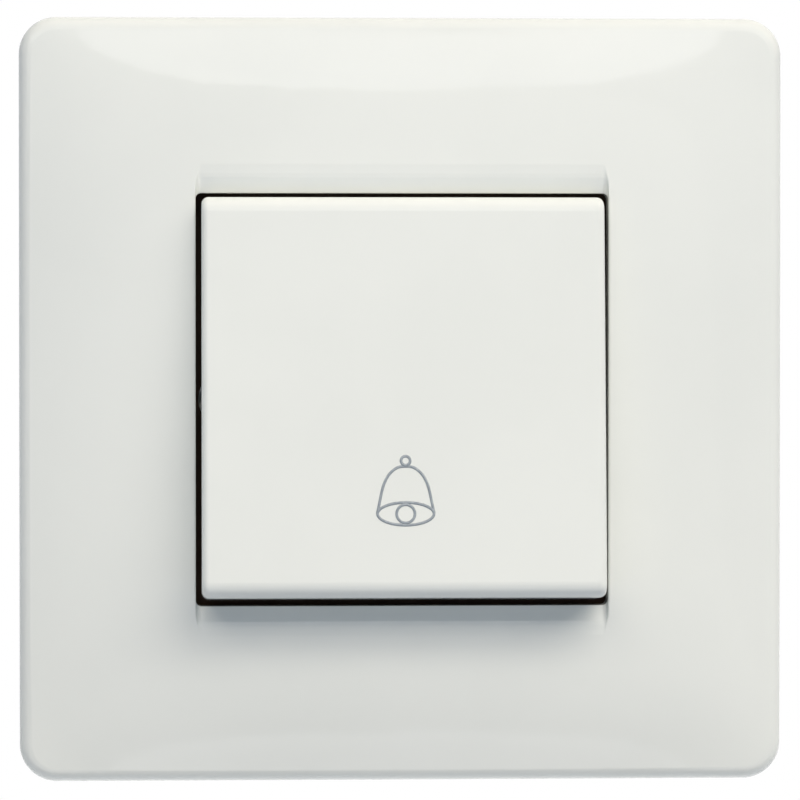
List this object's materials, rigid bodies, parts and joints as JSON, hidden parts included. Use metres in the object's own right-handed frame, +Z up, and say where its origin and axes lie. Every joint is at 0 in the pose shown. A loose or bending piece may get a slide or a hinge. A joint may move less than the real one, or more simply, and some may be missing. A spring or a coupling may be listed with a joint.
{
  "type": "doorbell switch",
  "caption": "Square flush-mounted wall bell push: convex white cover frame, sprung rocker key with a bell sign, and the contact mechanism, support plate and claws behind it.",
  "frame": {"origin": "on the wall plane, midway between the two box screws", "axes": "+X right, +Z up, the front faces -Y and the wall and its box lie on +Y"},
  "size_m": [0.082, 0.0347, 0.082],
  "materials": {
    "frame_white": "glossy moulded white",
    "key_white": "satin-gloss moulded white",
    "rocker_grey": "moulded light grey",
    "sheet_steel": "galvanised sheet",
    "base_grey": "moulded pale grey",
    "cover_dark": "moulded brown-black",
    "zinc": "bright zinc plated",
    "bronze": "rolled contact bronze",
    "silver": "silver alloy",
    "brass": "machined brass",
    "spring_steel": "drawn wire",
    "claw_steel": "zinc plated steel"
  },
  "bodies": {
    "housing": {"cover_frame": "frame_white", "support_frame": "sheet_steel", "mechanism_base": "base_grey", "mechanism_cover": "cover_dark", "cover_screws": "zinc", "common_bracket": "bronze", "fixed_contact": "bronze", "fixed_tip": "silver", "left_terminal": "brass", "right_terminal": "brass", "terminal_screws": "zinc", "return_spring": "spring_steel", "left_claw_pin": "zinc", "right_claw_pin": "zinc"},
    "key": {"key": "key_white", "rocker": "rocker_grey"},
    "lever": {"contact_lever": "bronze", "moving_tip": "silver"},
    "left_claw": {"left_claw": "claw_steel"},
    "right_claw": {"right_claw": "claw_steel"},
    "left_claw_screw": {"left_claw_screw": "zinc"},
    "right_claw_screw": {"right_claw_screw": "zinc"}
  },
  "joints": [
    {"name": "key_press", "type": "hinge", "parent": "housing", "child": "key", "pos_m": [0, -0.0052, 0], "axis": [1, 0, 0], "range_deg": [0, 10], "stiffness_Nm_per_rad": 0.12, "springref_deg": -11.46, "deforming": ["return_spring"]},
    {"name": "lever_swing", "type": "hinge", "parent": "housing", "child": "lever", "pos_m": [-0.009, 0.0025, -0.009], "axis": [0, 0, 1], "range_deg": [0, 9.96]},
    {"name": "left_claw_spread", "type": "hinge", "parent": "housing", "child": "left_claw", "pos_m": [-0.0232, 0.00235, 0], "axis": [0, 0, 1], "range_deg": [0, 25]},
    {"name": "right_claw_spread", "type": "hinge", "parent": "housing", "child": "right_claw", "pos_m": [0.0232, 0.00235, 0], "axis": [0, 0, -1], "range_deg": [0, 25]},
    {"name": "left_claw_screw_drive", "type": "slide", "parent": "housing", "child": "left_claw_screw", "axis": [0, 1, 0], "range_m": [0, 0.00209]},
    {"name": "right_claw_screw_drive", "type": "slide", "parent": "housing", "child": "right_claw_screw", "axis": [0, 1, 0], "range_m": [0, 0.00209]}
  ],
  "couplings": [
    {"joint": "lever_swing", "follows": "key_press", "ratio": 0.99621},
    {"joint": "left_claw_screw_drive", "follows": "left_claw_spread", "m_per_rad": 0.0047809},
    {"joint": "right_claw_screw_drive", "follows": "right_claw_spread", "m_per_rad": 0.0047809}
  ]
}
